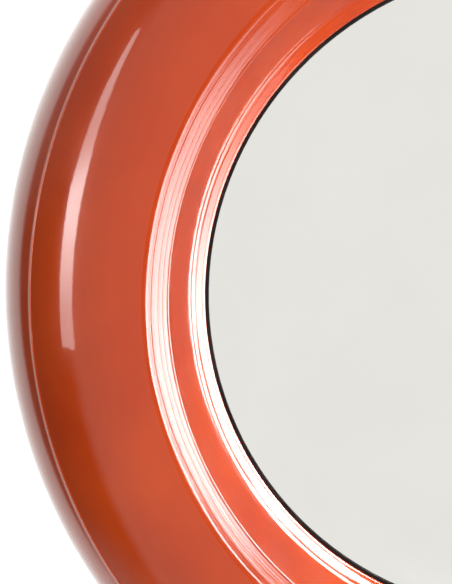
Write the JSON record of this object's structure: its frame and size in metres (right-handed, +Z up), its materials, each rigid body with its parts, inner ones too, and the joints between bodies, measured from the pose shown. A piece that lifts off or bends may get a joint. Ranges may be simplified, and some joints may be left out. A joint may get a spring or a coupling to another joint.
{
  "type": "traffic convex mirror",
  "caption": "Round convex mirror in a wide glossy orange ring frame, on a bracket that pans and tilts, with a two-piece clamp for a round pole.",
  "frame": {"origin": "on the pole's axis at half the clamp's height", "axes": "+Z up along the pole, -Y towards the side that the mirror faces, +X to the right of a person looking at the mirror"},
  "size_m": [0.6, 0.3211, 0.6],
  "materials": {
    "orange_gloss": "glossy moulded plastic with slight orange peel",
    "orange_back": "satin moulded plastic",
    "mirror_face": "polished acrylic mirror",
    "galvanised_steel": "hot-dip galvanised",
    "zinc_fasteners": "zinc plated",
    "epdm_rubber": "matt",
    "cast_arm": "as cast",
    "nylon_bush": "moulded nylon",
    "insert_brass": "turned"
  },
  "bodies": {
    "clamp": {"clamp_saddle": "galvanised_steel", "saddle_liner": "epdm_rubber", "clamp_bolts": "zinc_fasteners", "clamp_head_washers": "zinc_fasteners", "pan_bolt": "zinc_fasteners", "pan_nut": "zinc_fasteners", "pan_washers": "zinc_fasteners"},
    "strap": {"clamp_strap": "galvanised_steel", "strap_liner": "epdm_rubber", "clamp_nut_washers": "zinc_fasteners", "clamp_nuts": "zinc_fasteners"},
    "arm": {"swivel_arm": "cast_arm", "pan_bushes": "nylon_bush", "tilt_bolt": "zinc_fasteners", "tilt_nut": "zinc_fasteners", "tilt_washers": "zinc_fasteners", "lock_bolt": "zinc_fasteners", "lock_nut": "zinc_fasteners", "lock_washers": "zinc_fasteners"},
    "head": {"hinge_bracket": "galvanised_steel", "stud_plate": "galvanised_steel", "bracket_washers": "zinc_fasteners", "bracket_nuts": "zinc_fasteners", "frame_shell": "orange_gloss", "ring_inserts": "insert_brass", "mirror_lens": "mirror_face", "mirror_gasket": "epdm_rubber", "backing_dish": "galvanised_steel", "retaining_ring": "galvanised_steel", "ring_screws": "zinc_fasteners", "rear_shell": "orange_back", "rim_seal": "epdm_rubber", "shell_screws": "zinc_fasteners", "drain_plugs": "epdm_rubber"}
  },
  "joints": [
    {"name": "pan", "type": "hinge", "parent": "clamp", "child": "arm", "pos_m": [0, -0.072, 0], "axis": [0, 0, 1], "range_deg": [-45, 45]},
    {"name": "tilt", "type": "hinge", "parent": "arm", "child": "head", "pos_m": [0, -0.124, 0], "axis": [1, 0, 0], "range_deg": [-15, 15]},
    {"name": "clamp_open", "type": "slide", "parent": "clamp", "child": "strap", "axis": [0, 1, 0], "range_m": [0, 0.008]}
  ]
}
